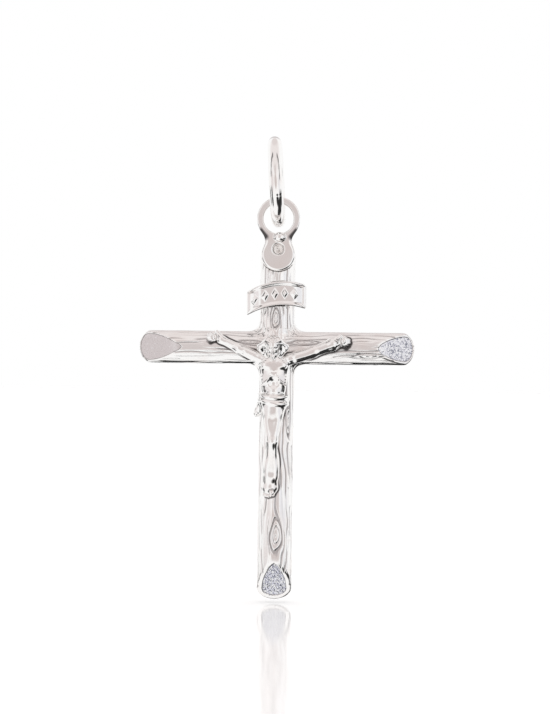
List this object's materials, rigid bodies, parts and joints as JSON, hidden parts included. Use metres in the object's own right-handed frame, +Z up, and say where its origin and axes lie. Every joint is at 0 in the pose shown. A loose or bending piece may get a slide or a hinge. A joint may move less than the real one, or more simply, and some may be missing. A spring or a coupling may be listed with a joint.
{
  "type": "log cross pendant",
  "caption": "Hollow log-style silver cross pendant with inset end caps, title scroll, riveted figure, eyelet plate and a jump ring that it swings on.",
  "frame": {"origin": "the chain's seat: the inside of the jump ring's crown, where a chain or bail bears", "axes": "+Z up along the hanging cross, +X to the viewer's right along the crossbeam, -Y to the front, where the figure is"},
  "size_m": [0.024, 0.008, 0.0404],
  "materials": {
    "log_silver": "polished sterling silver with engraved wood grain",
    "stippled_silver": "stippled, sparkling sterling silver",
    "fittings_silver": "mirror-polished sterling silver wire and plate",
    "title_silver": "polished sterling silver strip with a plain raised pattern",
    "figure_silver": "polished cast sterling silver",
    "nail_silver": "polished sterling silver rivets"
  },
  "bodies": {
    "jump_ring": {"jump_ring": "fittings_silver"},
    "cross": {"upright": "log_silver", "crossbeam": "log_silver", "foot_cap": "stippled_silver", "left_arm_cap": "stippled_silver", "right_arm_cap": "stippled_silver", "eyelet_plate": "fittings_silver", "title_scroll": "title_silver", "corpus": "figure_silver", "left_hand_nail": "nail_silver", "right_hand_nail": "nail_silver", "foot_nail": "nail_silver"}
  },
  "joints": [
    {"name": "pendant_swing", "type": "hinge", "parent": "jump_ring", "child": "cross", "pos_m": [0.00037, 0, -0.00619], "axis": [0, 1, 0], "range_deg": [-140, 140]}
  ]
}
